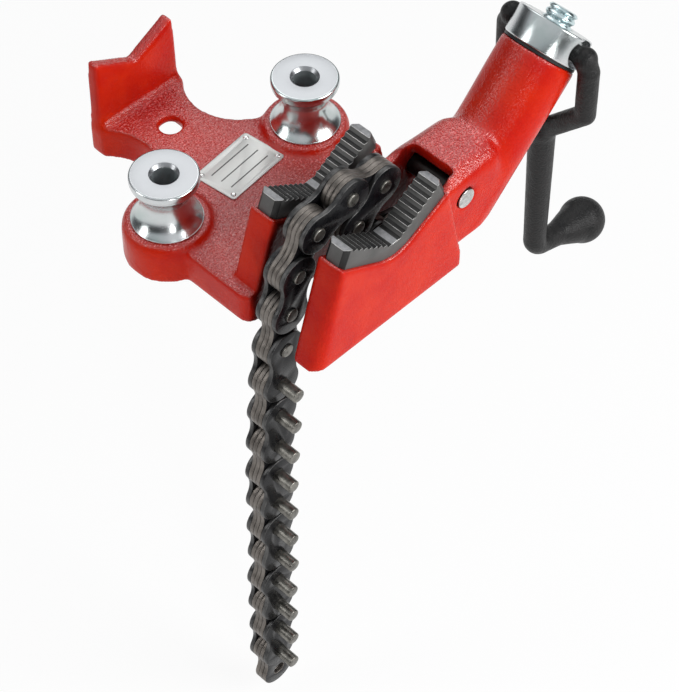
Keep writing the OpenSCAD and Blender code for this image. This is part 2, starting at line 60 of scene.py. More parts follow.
# Camera: a long lens that looks down on the vise from the chain's free side. Its place, its angles
# and its lens were fitted to the photograph's view.
camera_data = bpy.data.cameras.new("camera")
camera_data.sensor_fit = "VERTICAL"
camera_data.sensor_height = 36
camera_data.lens = 119.65
camera = bpy.data.objects.new("camera", camera_data)
bpy.context.collection.objects.link(camera)
camera_place = Matrix.Translation((-0.58869, -0.65533, 0.92484))
camera_turn = Matrix.Rotation(math.radians(-45.589), 4, "Z")
looks_down = 50.07
camera_tilt = Matrix.Rotation(math.radians(90 - looks_down), 4, "X")
camera_roll = Matrix.Rotation(math.radians(0.348), 4, "Z")
camera.matrix_world = camera_place @ camera_turn @ camera_tilt @ camera_roll
bpy.context.scene.camera = camera

# Studio: a pale floor just under the hanging chain, four soft lamps and a grey room. The camera
# sees the floor and the room as white, and the floor keeps a share of its shading, for the shadow.
studio_middle = (0.03, -0.05, 0.0)
for name, place, size, power in (
        ("key_lamp", (0.55, -1.35, 0.75), (0.9, 0.9), 20.5),
        ("fill_lamp", (-1.25, 0.65, 0.65), (0.5, 0.9), 5),
        ("strip_lamp", (-0.66, -1.32, 0.30), (0.22, 0.6), 5),
        ("back_lamp", (0.78, 0.84, 1.35), (1.0, 1.0), 5.8)):
    lamp_data = bpy.data.lights.new(name, "AREA")
    lamp_data.shape = "RECTANGLE"
    lamp_data.size, lamp_data.size_y = size
    lamp_data.energy = power
    lamp = bpy.data.objects.new(name, lamp_data)
    bpy.context.collection.objects.link(lamp)
    lamp.location = place
    aim = Vector(studio_middle) - Vector(place)
    lamp.rotation_euler = aim.to_track_quat("-Z", "Y").to_euler()

floor_span, floor_drop, glow_share = 12, 12 * mm, 0.9
bpy.ops.object.select_all(action="DESELECT")
bpy.ops.mesh.primitive_plane_add(size=floor_span, location=(0, 0, cad_box[0][2] - floor_drop))
floor = bpy.context.object
floor.name = "studio_floor"
floor_finish = bpy.data.materials.new("studio_floor")
floor_finish.use_nodes = True
tree = floor_finish.node_tree
matte = tree.nodes["Principled BSDF"]
matte.inputs["Base Color"].default_value = (0.9, 0.9, 0.9, 1)
matte.inputs["Roughness"].default_value = 1.0
glow = tree.nodes.new("ShaderNodeEmission")
glow.inputs["Color"].default_value = (1, 1, 1, 1)
path = tree.nodes.new("ShaderNodeLightPath")
seen = tree.nodes.new("ShaderNodeMath")
seen.operation = "MAXIMUM"
seen.use_clamp = True
share = tree.nodes.new("ShaderNodeMath")
share.operation = "MULTIPLY"
share.inputs[1].default_value = glow_share
mix = tree.nodes.new("ShaderNodeMixShader")
tree.links.new(path.outputs["Is Camera Ray"], seen.inputs[0])
tree.links.new(path.outputs["Is Glossy Ray"], seen.inputs[1])
tree.links.new(seen.outputs[0], share.inputs[0])
tree.links.new(share.outputs[0], mix.inputs["Fac"])
tree.links.new(matte.outputs["BSDF"], mix.inputs[1])
tree.links.new(glow.outputs["Emission"], mix.inputs[2])
tree.links.new(mix.outputs["Shader"], tree.nodes["Material Output"].inputs["Surface"])
floor.data.materials.append(floor_finish)

world = bpy.data.worlds.new("grey_room")
bpy.context.scene.world = world
world.use_nodes = True
room = world.node_tree
room_light = room.nodes["Background"]
room_light.inputs["Color"].default_value = (0.62, 0.64, 0.66, 1)
room_light.inputs["Strength"].default_value = 0.5
# Polished metal sees walls that are dark round the horizon and pale above.
walls = room.nodes.new("ShaderNodeBackground")
walls.inputs["Strength"].default_value = 0.9
direction = room.nodes.new("ShaderNodeTexCoord")
height = room.nodes.new("ShaderNodeSeparateXYZ")
shades = room.nodes.new("ShaderNodeValToRGB")
shades.color_ramp.elements[0].position = 0.0
shades.color_ramp.elements[0].color = (0.30, 0.31, 0.33, 1)
shades.color_ramp.elements[1].position = 0.70
shades.color_ramp.elements[1].color = (0.80, 0.82, 0.84, 1)
for position, shade in ((0.10, 0.04), (0.38, 0.05), (0.48, 0.60)):
    stop = shades.color_ramp.elements.new(position)
    stop.color = (shade, shade * 1.03, shade * 1.08, 1)
backdrop = room.nodes.new("ShaderNodeBackground")
backdrop.inputs["Color"].default_value = (1, 1, 1, 1)
room_path = room.nodes.new("ShaderNodeLightPath")
mirror_mix = room.nodes.new("ShaderNodeMixShader")
room_mix = room.nodes.new("ShaderNodeMixShader")
room.links.new(direction.outputs["Generated"], height.inputs[0])
room.links.new(height.outputs["Z"], shades.inputs["Fac"])
room.links.new(shades.outputs["Color"], walls.inputs["Color"])
room.links.new(room_path.outputs["Is Glossy Ray"], mirror_mix.inputs["Fac"])
room.links.new(room_light.outputs["Background"], mirror_mix.inputs[1])
room.links.new(walls.outputs["Background"], mirror_mix.inputs[2])
room.links.new(room_path.outputs["Is Camera Ray"], room_mix.inputs["Fac"])
room.links.new(mirror_mix.outputs["Shader"], room_mix.inputs[1])
room.links.new(backdrop.outputs["Background"], room_mix.inputs[2])
room.links.new(room_mix.outputs["Shader"], room.nodes["World Output"].inputs["Surface"])
bpy.context.scene.view_settings.view_transform = "Standard"


# Main casting: foot, bosses, pipe rest, slot walls and arm, sand cast in one and painted glossy red.
# The cast corners are soft, and the paint lies thick and wrinkled over the sand's grain.
def alone(piece):
    """Makes one piece the only selected one, and the active one."""
    bpy.ops.object.select_all(action="DESELECT")
    piece.select_set(True)
    bpy.context.view_layer.objects.active = piece


def welded_copy(node, name):
    """A copy of a CAD node's mesh with its loose triangles joined into whole faces."""
    piece = bpy.data.objects.new(name, nodes[node].data.copy())
    piece.data.materials.clear()
    bpy.context.collection.objects.link(piece)
    alone(piece)
    bpy.ops.object.mode_set(mode="EDIT")
    bpy.ops.mesh.select_all(action="SELECT")
    bpy.ops.mesh.remove_doubles(threshold=0.004 * mm)
    bpy.ops.mesh.dissolve_limited(angle_limit=math.radians(0.5))
    bpy.ops.object.mode_set(mode="OBJECT")
    return piece


def apply_all(piece):
    """Applies a piece's modifiers, in their order."""
    alone(piece)
    for modifier in list(piece.modifiers):
        bpy.ops.object.modifier_apply(modifier=modifier.name)


def soften(piece, grain, passes):
    """Turns a solid into a fine skin with rounded corners and fillets, as a casting has."""
    skin = piece.modifiers.new("skin", "REMESH")
    skin.mode = "VOXEL"
    skin.voxel_size = grain
    smooth = piece.modifiers.new("smooth", "SMOOTH")
    smooth.factor = 0.5
    smooth.iterations = passes
    apply_all(piece)
    bpy.ops.object.shade_smooth()


def relax(piece, share, passes):
    """Smooths a skin further where share(place) is above zero, as a wide fillet."""
    where = piece.vertex_groups.new(name="relax")
    for vertex in piece.data.vertices:
        weight = share(vertex.co)
        if weight > 0:
            where.add([vertex.index], min(1.0, weight), "REPLACE")
    smooth = piece.modifiers.new("fillet", "SMOOTH")
    smooth.factor = 0.5
    smooth.iterations = passes
    smooth.vertex_group = where.name
    apply_all(piece)
    piece.vertex_groups.clear()


def bevel_edges(piece, chosen, width, segments, material=-1, clamp=True):
    """Rounds the edges for which chosen(edge) is true; the new faces may take another material."""
    alone(piece)
    bpy.ops.object.mode_set(mode="EDIT")
    bpy.ops.mesh.select_mode(type="EDGE")
    bpy.ops.mesh.select_all(action="DESELECT")
    shape = bmesh.from_edit_mesh(piece.data)
    for edge in shape.edges:
        edge.select_set(bool(chosen(edge)))
    bmesh.update_edit_mesh(piece.data)
    bpy.ops.mesh.bevel(
        offset=width, segments=segments, profile=0.5, material=material, clamp_overlap=clamp)
    bpy.ops.object.mode_set(mode="OBJECT")


def stand_in(piece, body, node):
    """Puts a finished piece on its body, in the place of its CAD node."""
    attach(piece, body)
    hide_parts(node)


def finish_piece(piece, body, finish, node):
    piece.data.materials.append(finish)
    stand_in(piece, body, node)


def new_finish(name, color, roughness, metallic=0.0):
    """A new material; returns it with its node tree and its shader."""
    finish = bpy.data.materials.new(name)
    finish.use_nodes = True
    shader = finish.node_tree.nodes["Principled BSDF"]
    shader.inputs["Base Color"].default_value = (*color, 1)
    shader.inputs["Roughness"].default_value = roughness
    shader.inputs["Metallic"].default_value = metallic
    return finish, finish.node_tree, shader


def new_group(name, inputs, outputs):
    """An empty shader node group; inputs are (name, value), outputs (name, socket type)."""
    group = bpy.data.node_groups.new(name, "ShaderNodeTree")
    for label, value in inputs:
        kind = "NodeSocketColor" if isinstance(value, tuple) else "NodeSocketFloat"
        socket = group.interface.new_socket(name=label, in_out="INPUT", socket_type=kind)
        socket.default_value = value
    for label, kind in outputs:
        group.interface.new_socket(name=label, in_out="OUTPUT", socket_type=kind)
    return group, group.nodes.new("NodeGroupInput"), group.nodes.new("NodeGroupOutput")


def math_node(tree, operation, first, second=0.0, third=0.0):
    """A Math node fed by sockets or numbers; returns its output."""
    node = tree.nodes.new("ShaderNodeMath")
    node.operation = operation
    for socket, value in zip(node.inputs, (first, second, third)):
        if isinstance(value, (int, float)):
            socket.default_value = value
        else:
            tree.links.new(value, socket)
    return node.outputs[0]


def ramp_node(tree, value, low, high, to_low=0.0, to_high=1.0):
    """A Map Range node, clamped, from low..high to to_low..to_high; returns its output."""
    node = tree.nodes.new("ShaderNodeMapRange")
    for label, amount in zip(
            ("From Min", "From Max", "To Min", "To Max"), (low, high, to_low, to_high)):
        node.inputs[label].default_value = amount
    tree.links.new(value, node.inputs["Value"])
    return node.outputs[0]


def place_group(tree, group, **values):
    """Adds a node group to a material with its own values; returns the node."""
    node = tree.nodes.new("ShaderNodeGroup")
    node.node_tree = group
    for label, value in values.items():
        node.inputs[label].default_value = value
    return node


def tint(tree, shader, amount, color):
    """Lays a colour over what feeds the shader's Base Color, where the mask says so."""
    over = tree.nodes.new("ShaderNodeMix")
    over.data_type = "RGBA"
    over.inputs["B"].default_value = (*color, 1)
    tree.links.new(amount, over.inputs["Factor"])
    tree.links.new(shader.inputs["Base Color"].links[0].from_socket, over.inputs["A"])
    tree.links.new(over.outputs["Result"], shader.inputs["Base Color"])


# Grain: random bumps of a real size and depth, in metres.
grain_group, given, result = new_group(
    "grain", (("Size", 0.001), ("Depth", 0.0001), ("Detail", 3.0)),
    (("Normal", "NodeSocketVector"), ("Height", "NodeSocketFloat")))
place = grain_group.nodes.new("ShaderNodeTexCoord")
noise = grain_group.nodes.new("ShaderNodeTexNoise")
bump = grain_group.nodes.new("ShaderNodeBump")
per_metre = math_node(grain_group, "DIVIDE", 1.0, given.outputs["Size"])
grain_group.links.new(place.outputs["Object"], noise.inputs["Vector"])
grain_group.links.new(per_metre, noise.inputs["Scale"])
grain_group.links.new(given.outputs["Detail"], noise.inputs["Detail"])
grain_group.links.new(noise.outputs["Fac"], bump.inputs["Height"])
grain_group.links.new(given.outputs["Depth"], bump.inputs["Distance"])
grain_group.links.new(bump.outputs["Normal"], result.inputs["Normal"])
grain_group.links.new(noise.outputs["Fac"], result.inputs["Height"])

# Mottle: drifts between two colours, and gives the mask for roughness.
mottle_group, given, result = new_group(
    "mottle", (("Size", 0.01), ("Dark", (0.1, 0.1, 0.1, 1)), ("Light", (0.5, 0.5, 0.5, 1))),
    (("Color", "NodeSocketColor"), ("Mask", "NodeSocketFloat")))
place = mottle_group.nodes.new("ShaderNodeTexCoord")
noise = mottle_group.nodes.new("ShaderNodeTexNoise")
noise.inputs["Detail"].default_value = 5.0
noise.inputs["Roughness"].default_value = 0.6
tones = mottle_group.nodes.new("ShaderNodeMix")
tones.data_type = "RGBA"
per_metre = math_node(mottle_group, "DIVIDE", 1.0, given.outputs["Size"])
mottle_group.links.new(place.outputs["Object"], noise.inputs["Vector"])
mottle_group.links.new(per_metre, noise.inputs["Scale"])
mask = ramp_node(mottle_group, noise.outputs["Fac"], 0.35, 0.65)
mottle_group.links.new(mask, tones.inputs["Factor"])
mottle_group.links.new(given.outputs["Dark"], tones.inputs["A"])
mottle_group.links.new(given.outputs["Light"], tones.inputs["B"])
mottle_group.links.new(tones.outputs["Result"], result.inputs["Color"])
mottle_group.links.new(mask, result.inputs["Mask"])

casting = welded_copy("base_casting", "red_casting")
rear_wall_y, front_wall_y, outer_wall_y = -71 * mm, -102 * mm, -120 * mm
chain_y = -86.5 * mm
slant_right_x, slant_least_rise = -36 * mm, 15 * mm


def slants_at(wall_y):
    """Chooses the long slanted edge at the left end of a wall's face."""
    def chosen(edge):
        low, high = sorted((v.co for v in edge.verts), key=lambda co: co.z)
        on_face = abs(low.y - wall_y) < 0.2 * mm and abs(high.y - wall_y) < 0.2 * mm
        return on_face and high.x < slant_right_x and high.z - low.z > slant_least_rise
    return chosen


for wall_y, round_r, segments in (
        (rear_wall_y, 8 * mm, 6), (front_wall_y, 4 * mm, 4), (outer_wall_y, 8 * mm, 6)):
    bevel_edges(casting, slants_at(wall_y), round_r, segments, clamp=False)
skin_grain, skin_passes = 1.15 * mm, 13
soften(casting, skin_grain, skin_passes)

hollow_x, hollow_z, hollow_reach = 93 * mm, 55 * mm, 34 * mm
hollow_foot_z, hollow_half_w = 26 * mm, 32 * mm
boss_x, boss_foot_r, plate_top = 52 * mm, 25.5 * mm, 21 * mm
tail_x, tail_y = 31 * mm, 78.5 * mm


def saddle(co):
    """The hollow where the arm's tube rises from its flat root, fuller on the rear side."""
    away = math.hypot(co.x - hollow_x, co.z - hollow_z) / hollow_reach
    across = co.y - chain_y
    if co.z <= hollow_foot_z or abs(across) >= hollow_half_w:
        return 0
    rear_side = min(1.0, max(0.5, 0.7 + across / (22 * mm)))
    return (1.6 - 1.6 * away) * rear_side


def boss_foot(co):
    """The ring where a boss rises from the plate."""
    from_ring = math.hypot(abs(co.x) - boss_x, co.y) - boss_foot_r
    away = math.hypot(from_ring, co.z - plate_top) / (7 * mm)
    return 1.3 - 1.3 * away if co.z > 12 * mm else 0


def tail_corner(co):
    """The two corners where the plate's edge runs into the pipe rest."""
    away = math.hypot(abs(co.x) - tail_x, co.y - tail_y, co.z - plate_top) / (9 * mm)
    return 1.5 - 1.5 * away


relax(casting, saddle, 170)
relax(casting, tail_corner, 14)
relax(casting, boss_foot, 20)

# The paint drifts between two reds, and is paler along the edges that stand out, partly as wear
# and partly as a painted highlight.
red_paint, tree, shader = new_finish("red_paint", (0.58, 0.008, 0.008), 0.32)
tones = place_group(
    tree, mottle_group, Size=30 * mm, Dark=(0.47, 0.008, 0.004, 1), Light=(0.58, 0.021, 0.004, 1))
tree.links.new(tones.outputs["Color"], shader.inputs["Base Color"])
# Paler convex edges: wear, and a painted highlight along the rims.
corners = tree.nodes.new("ShaderNodeNewGeometry")
edge_wear_and_highlight = math_node(tree, "MULTIPLY", ramp_node(tree, corners.outputs["Pointiness"], 0.53, 0.60), 0.5)
tint(tree, shader, edge_wear_and_highlight, (0.78, 0.045, 0.04))
# It wrinkles on the tops, where it lay thick. On the level tops the crests carry a painted pinkish
# glint and the valleys painted shade. The upright faces are smooth, and shine less.
surface = tree.nodes.new("ShaderNodeTexCoord")
facing = tree.nodes.new("ShaderNodeSeparateXYZ")
place = tree.nodes.new("ShaderNodeSeparateXYZ")
tree.links.new(surface.outputs["Normal"], facing.inputs[0])
tree.links.new(surface.outputs["Object"], place.inputs[0])
upward = ramp_node(tree, facing.outputs["Z"], 0.55, 0.92)
level = ramp_node(tree, facing.outputs["Z"], 0.86, 0.98)
wrinkle = place_group(tree, grain_group, Size=1.1 * mm, Depth=0.0, Detail=1.0)
pits = place_group(tree, grain_group, Size=3.5 * mm, Depth=0.0, Detail=1.0)
relief = math_node(
    tree, "MULTIPLY_ADD", pits.outputs["Height"], 0.8, wrinkle.outputs["Height"])
relief = math_node(tree, "MULTIPLY", relief, ramp_node(tree, upward, 0, 1, 0.35, 1.0))
paint_bump = tree.nodes.new("ShaderNodeBump")
paint_bump.inputs["Distance"].default_value = 0.6 * mm
tree.links.new(relief, paint_bump.inputs["Height"])
tree.links.new(paint_bump.outputs["Normal"], shader.inputs["Normal"])
# Painted glints on the wrinkle crests and painted shade in the valleys, on the level tops only.
glint_and_shade_share = 0.75
for low, high, color in (
        (0.52, 0.68, (0.98, 0.23, 0.23)),
        (0.5, 0.36, (0.52, 0.012, 0.014))):
    amount = ramp_node(tree, wrinkle.outputs["Height"], low, high)
    amount = math_node(tree, "MULTIPLY", amount, level)
    tint(tree, shader, math_node(tree, "MULTIPLY", amount, glint_and_shade_share), color)
# The slot between the walls is darkened with painted shade, up to the arm's mouth.
from_slot = math_node(tree, "ABSOLUTE", math_node(tree, "ADD", place.outputs["Y"], -chain_y))
slot_shade = ramp_node(tree, from_slot, 15.7 * mm, 17.5 * mm, 0.8, 0.0)
before_mouth = ramp_node(tree, place.outputs["X"], 58 * mm, 63 * mm, 1.0, 0.0)
tint(tree, shader, math_node(tree, "MULTIPLY", slot_shade, before_mouth), (0.03, 0.002, 0.002))
tree.links.new(ramp_node(tree, upward, 0, 1, 0.10, 0.95), shader.inputs["Specular IOR Level"])
gloss = ramp_node(tree, tones.outputs["Mask"], 0, 1, 0.28, 0.2)
tree.links.new(gloss, shader.inputs["Roughness"])
finish_piece(casting, "base", red_paint, "base_casting")


# Jaws: two toothed V blocks of hardened steel with a dark oxide skin, doweled into their seats. The
# tooth crests are rubbed bright; the tips and the flat at the bottom of the V are ground.
def is_ridge(edge, least_degrees):
    """An edge that stands out by at least the angle."""
    if len(edge.link_faces) != 2:
        return False
    return edge.calc_face_angle_signed(0) > math.radians(least_degrees)


def is_crest(edge):
    """A ridge that bounds the toothed side, where the pipe and the chain rub it bright."""
    heights = [face.normal.z for face in edge.link_faces]
    return is_ridge(edge, 20) and min(heights) > -0.1 and max(heights) > 0.4


def shade(piece, degrees):
    """Shades a piece smooth, apart from the edges that are sharper than the angle."""
    alone(piece)
    bpy.ops.object.shade_smooth_by_angle(angle=math.radians(degrees))


def rubbed_finish(name, dark, light, roughness, metallic, grain, depth, patch=12 * mm):
    """A finish that drifts between two colours and two roughnesses, with grain.

    roughness is (where dark, where light); grain, depth and patch are sizes in metres.
    """
    finish, tree, shader = new_finish(name, light, roughness[0], metallic)
    tones = place_group(tree, mottle_group, Size=patch, Dark=(*dark, 1), Light=(*light, 1))
    tree.links.new(tones.outputs["Color"], shader.inputs["Base Color"])
    gloss = ramp_node(tree, tones.outputs["Mask"], 0, 1, *roughness)
    tree.links.new(gloss, shader.inputs["Roughness"])
    bumps = place_group(tree, grain_group, Size=grain, Depth=depth)
    tree.links.new(bumps.outputs["Normal"], shader.inputs["Normal"])
    return finish, tree, shader


dark_jaw = rubbed_finish(
    "dark_jaw_steel", (0.010, 0.010, 0.010), (0.030, 0.029, 0.028),
    (0.40, 0.54), 0.5, 0.7 * mm, 0.10 * mm)[0]
worn_jaw = rubbed_finish(
    "worn_jaw_crest", (0.42, 0.41, 0.39), (0.75, 0.74, 0.72),
    (0.28, 0.4), 0.9, 0.6 * mm, 0.04 * mm, 4 * mm)[0]
ground_jaw = rubbed_finish(
    "ground_jaw_flat", (0.20, 0.20, 0.205), (0.33, 0.33, 0.335),
    (0.42, 0.55), 0.75, 0.4 * mm, 0.08 * mm, 3 * mm)[0]
side_jaw = rubbed_finish(
    "jaw_side", (0.085, 0.083, 0.080), (0.120, 0.117, 0.113),
    (0.45, 0.58), 0.5, 0.5 * mm, 0.05 * mm)[0]
jaw_finishes = (dark_jaw, worn_jaw, ground_jaw, side_jaw)
jaw_end_x, end_corner_w, ridge_w, crest_w = 34.5 * mm, 2.6 * mm, 0.5 * mm, 0.36 * mm
tip_depth, bottom_half_w = 0.5 * mm, 1.5 * mm
for node in ("rear_jaw", "front_jaw"):
    jaw = welded_copy(node, node + "_block")
    for finish in jaw_finishes:
        jaw.data.materials.append(finish)
    low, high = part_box(node)

    def is_end_corner(edge):
        """The four upright corners at the jaw's ends."""
        places = [v.co for v in edge.verts]
        at_end = min(abs(co.x) for co in places) > jaw_end_x
        on_front = all(co.y < low.y + 0.1 * mm for co in places)
        on_rear = all(co.y > high.y - 0.1 * mm for co in places)
        return at_end and (on_front or on_rear) and abs(places[0].z - places[1].z) > 5 * mm

    bevel_edges(jaw, is_end_corner, end_corner_w, 1)
    for face in jaw.data.polygons:
        at_flat = face.center.z > high.z - tip_depth or abs(face.center.x) < bottom_half_w
        if face.normal.z > 0.97 and at_flat:
            face.material_index = jaw_finishes.index(ground_jaw)
        elif abs(face.normal.y) > 0.9 or abs(face.normal.x) > 0.9:
            face.material_index = jaw_finishes.index(side_jaw)
    bevel_edges(jaw, lambda edge: is_ridge(edge, 20) and not is_crest(edge), ridge_w, 2)
    bevel_edges(jaw, is_crest, crest_w, 2, jaw_finishes.index(worn_jaw))
    shade(jaw, 30)
    stand_in(jaw, "base", node)


# Bending spools: turned steel with bright zinc plating, each with a spigot in its boss and a through
# bore for a bench bolt. Thin pipe is bent round their grooves.
def turned(name, profile, steps=128):
    """A closed turned shape about Z from its section's corners, each (radius, height)."""
    bpy.ops.object.select_all(action="DESELECT")
    radius, height = profile[0]
    bpy.ops.mesh.primitive_circle_add(vertices=steps, radius=radius, location=(0, 0, 0))
    piece = bpy.context.object
    piece.name = name
    bpy.ops.object.mode_set(mode="EDIT")
    bpy.ops.mesh.select_all(action="SELECT")
    bpy.ops.transform.translate(value=(0, 0, height))
    for next_radius, next_height in profile[1:] + profile[:1]:
        rise = (0, 0, next_height - height)
        bpy.ops.mesh.extrude_region_move(TRANSFORM_OT_translate={"value": rise})
        growth = next_radius / radius
        bpy.ops.transform.resize(
            value=(growth, growth, 1), center_override=(0, 0, next_height))
        radius, height = next_radius, next_height
    bpy.ops.mesh.select_all(action="SELECT")
    bpy.ops.mesh.remove_doubles(threshold=0.002 * mm)
    bpy.ops.mesh.normals_make_consistent(inside=False)
    bpy.ops.object.mode_set(mode="OBJECT")
    tool_path = piece.data.attributes.new("tool_path", "FLOAT", "POINT")
    for vertex in piece.data.vertices:
        tool_path.data[vertex.index].value = math.hypot(vertex.co.x, vertex.co.y) + vertex.co.z
    return piece


def rounded(radius, height, corner, start, end, steps=5):
    """Points of a round corner about (radius, height), from one angle to another, in degrees."""
    turns = [math.radians(start + (end - start) * i / steps) for i in range(steps + 1)]
    return [(radius + corner * math.cos(t), height + corner * math.sin(t)) for t in turns]


def put(piece, place, tilt=0.0):
    """Moves a turned piece to its place, and leaves the move in its mesh."""
    alone(piece)
    piece.rotation_euler = (0, tilt, 0)
    piece.location = place
    bpy.ops.object.transform_apply(location=True, rotation=True, scale=True)


def zinc_finish(name, dark, light, roughness):
    """Bright plating over turned steel, with the tool's fine rings showing through it."""
    finish, tree, shader = rubbed_finish(
        name, dark, light, roughness, 1.0, 2.5 * mm, 0.02 * mm, 20 * mm)
    path = tree.nodes.new("ShaderNodeAttribute")
    path.attribute_name = "tool_path"
    rings = tree.nodes.new("ShaderNodeTexNoise")
    rings.noise_dimensions = "1D"
    rings.inputs["Scale"].default_value = 1 / (0.35 * mm)
    rings.inputs["Detail"].default_value = 2.0
    tree.links.new(path.outputs["Fac"], rings.inputs["W"])
    ring_bump = tree.nodes.new("ShaderNodeBump")
    ring_bump.inputs["Distance"].default_value = 0.008 * mm
    tree.links.new(rings.outputs["Fac"], ring_bump.inputs["Height"])
    tree.links.new(shader.inputs["Normal"].links[0].from_socket, ring_bump.inputs["Normal"])
    tree.links.new(ring_bump.outputs["Normal"], shader.inputs["Normal"])
    return finish


zinc = zinc_finish("bright_zinc", (0.50, 0.56, 0.55), (0.66, 0.67, 0.68), (0.18, 0.28))
# The tops take a darker satin zinc: a satin finish, with painted shade against the back lamp's
# reflection.
satin_zinc_painted_shade = zinc_finish("satin_zinc_painted_shade", (0.33, 0.34, 0.35), (0.38, 0.388, 0.40), (0.3, 0.36))
# The bore takes a duller, darker zinc: a rougher finish, with painted shade inside the hole.
dull_zinc_painted_shade = zinc_finish("dull_zinc_painted_shade", (0.42, 0.46, 0.47), (0.52, 0.55, 0.56), (0.5, 0.6))
spool_finishes = (zinc, satin_zinc_painted_shade, dull_zinc_painted_shade)

rim_r, flange_r, waist_r, bore_r, spigot_r = 19.1 * mm, 19.9 * mm, 13 * mm, 6.5 * mm, 10.5 * mm
spool_h, rim_h, flange_h, spigot_h = 33.2 * mm, 4.2 * mm, 1.2 * mm, 5 * mm
spigot_edge, flange_edge, rim_under, rim_edge = 0.5 * mm, 0.4 * mm, 0.8 * mm, 1.3 * mm
mouth_w, mouth_edge = 1.9 * mm, 0.5 * mm
spool_low, spool_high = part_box("bending_spool_left")
spool_x = abs(spool_low.x + spool_high.x) / 2
spool_foot = spool_high.z - spool_h
groove_h = spool_h - rim_h - flange_h
groove_d = flange_r - waist_r
groove_r = (groove_h ** 2 / 4 + groove_d ** 2) / (2 * groove_d)
groove_half = math.degrees(math.asin(groove_h / 2 / groove_r))
groove = rounded(
    waist_r + groove_r, flange_h + groove_h / 2, groove_r, 180 + groove_half, 180 - groove_half, 20)
spool_profile = (
    [(bore_r, -spigot_h), (spigot_r - spigot_edge, -spigot_h)]
    + [(spigot_r, -spigot_h + spigot_edge), (spigot_r, 0), (flange_r - flange_edge, 0)]
    + rounded(flange_r - flange_edge, flange_edge, flange_edge, -90, 0, 3)
    + rounded(flange_r - flange_edge, flange_h - flange_edge, flange_edge, 0, 90, 3)
    + groove[1:-1]
    + rounded(rim_r - rim_under, spool_h - rim_h + 0.6 * mm, rim_under, -60, 0, 3)
    + rounded(rim_r - rim_edge, spool_h - rim_edge, rim_edge, 0, 90)
    + rounded(bore_r + mouth_w, spool_h - mouth_edge, mouth_edge, 90, 140, 3)
    + [(bore_r + 0.3 * mm, spool_h - 1.5 * mm), (bore_r, spool_h - 1.9 * mm)]
)
for side, name in ((-1, "spool_left"), (1, "spool_right")):
    spool = turned(name + "_turned", spool_profile)
    put(spool, (side * spool_x, 0, spool_foot))
    shade(spool, 28)
    for finish in spool_finishes:
        spool.data.materials.append(finish)
    top_z = spool_foot + spool_h
    # The top takes the darker satin zinc and the bore the darker dull zinc, both partly painted
    # shade.
    for face in spool.data.polygons:
        from_axis = math.hypot(face.center.x - side * spool_x, face.center.y)
        at_top = face.normal.z > 0.5 and face.center.z > top_z - 2 * mm
        if from_axis < bore_r + 0.1 * mm:
            face.material_index = spool_finishes.index(dull_zinc_painted_shade)
        elif at_top and from_axis < rim_r - rim_edge:
            face.material_index = spool_finishes.index(satin_zinc_painted_shade)
    stand_in(spool, name, "bending_" + name)


# Round nut: turned steel, plated like the spools, on the end of the arm. A counterbored hole on each
# side takes the handle's stub.
arm_tilt = math.radians(45)
arm_axis = Vector((math.cos(arm_tilt), 0, math.sin(arm_tilt)))
arm_foot = Vector((72.8 * mm, chain_y, 0))
arm_len, washer_t, nut_gap = 102 * mm, 1.4 * mm, 0.15 * mm
nut_r, nut_h, nut_bore_r, nut_edge = 22.6 * mm, 17.2 * mm, 8.95 * mm, 1.1 * mm
nut_start = arm_len + washer_t + nut_gap
nut_profile = (
    [(nut_bore_r, 0.6 * mm), (nut_bore_r + 0.6 * mm, 0)]
    + rounded(nut_r - nut_edge, nut_edge, nut_edge, -90, 0)
    + rounded(nut_r - nut_edge, nut_h - nut_edge, nut_edge, 0, 90)
    + [(nut_bore_r + 1.6 * mm, nut_h), (nut_bore_r, nut_h - 1.2 * mm)]
)
nut = turned("plated_nut", nut_profile, 160)
put(nut, arm_foot + arm_axis * nut_start, math.pi / 2 - arm_tilt)
pivot = arm_foot + arm_axis * (nut_start + nut_h / 2)
cutter_len = 20 * mm
for side in (-1, 1):
    for hole_r, hole_depth in ((9 * mm, 4 * mm), (5.05 * mm, 10 * mm)):
        middle_y = chain_y + side * (nut_r - hole_depth + cutter_len / 2)
        bpy.ops.object.select_all(action="DESELECT")
        bpy.ops.mesh.primitive_cylinder_add(
            vertices=96, radius=hole_r, depth=cutter_len,
            location=(pivot.x, middle_y, pivot.z), rotation=(math.pi / 2, 0, 0))
        cutter = bpy.context.object
        cut = nut.modifiers.new("cut", "BOOLEAN")
        cut.operation = "DIFFERENCE"
        cut.solver = "EXACT"
        cut.object = cutter
        apply_all(nut)
        bpy.data.objects.remove(cutter)
shade(nut, 28)
finish_piece(nut, "nut", zinc, "handle_nut")


# Screw: a plated steel rod with a coarse rounded thread, which the nut draws along the arm. Its flat
# tongue, inside the arm, holds the first chain pin.
plated_thread = zinc_finish("plated_thread", (0.52, 0.66, 0.68), (0.74, 0.84, 0.86), (0.2, 0.32))
screw = welded_copy("chain_screw", "threaded_screw")
bevel_edges(screw, lambda edge: is_ridge(edge, 25), 0.22 * mm, 2)
shade(screw, 35)
finish_piece(screw, "screw", plated_thread, "chain_screw")


# Crank handle: a black casting. The fork's ends curl into the nut, the rod tapers to its bend, and
# the grip swells to a ball.
handle = welded_copy("crank_handle", "black_handle")
soften(handle, 0.8 * mm, 4)
stub_z = 112.05 * mm * math.sin(arm_tilt)
grip_x = 189 * mm


def easing(co):
    """How far the skin eases: most at the fork's crotch and at the bend, least on the grip."""
    drop = (stub_z - co.z) / mm
    if co.x > grip_x:
        return 0.05
    return 1.0 if 30 < drop < 92 or 172 < drop else 0.35


relax(handle, easing, 26)
black_cast, tree, shader = rubbed_finish(
    "black_cast_finish", (0.004, 0.004, 0.004), (0.014, 0.013, 0.013),
    (0.36, 0.52), 0.0, 1.2 * mm, 0.5 * mm, 6 * mm)
shader.inputs["Specular IOR Level"].default_value = 0.28
finish_piece(handle, "handle", black_cast, "crank_handle")


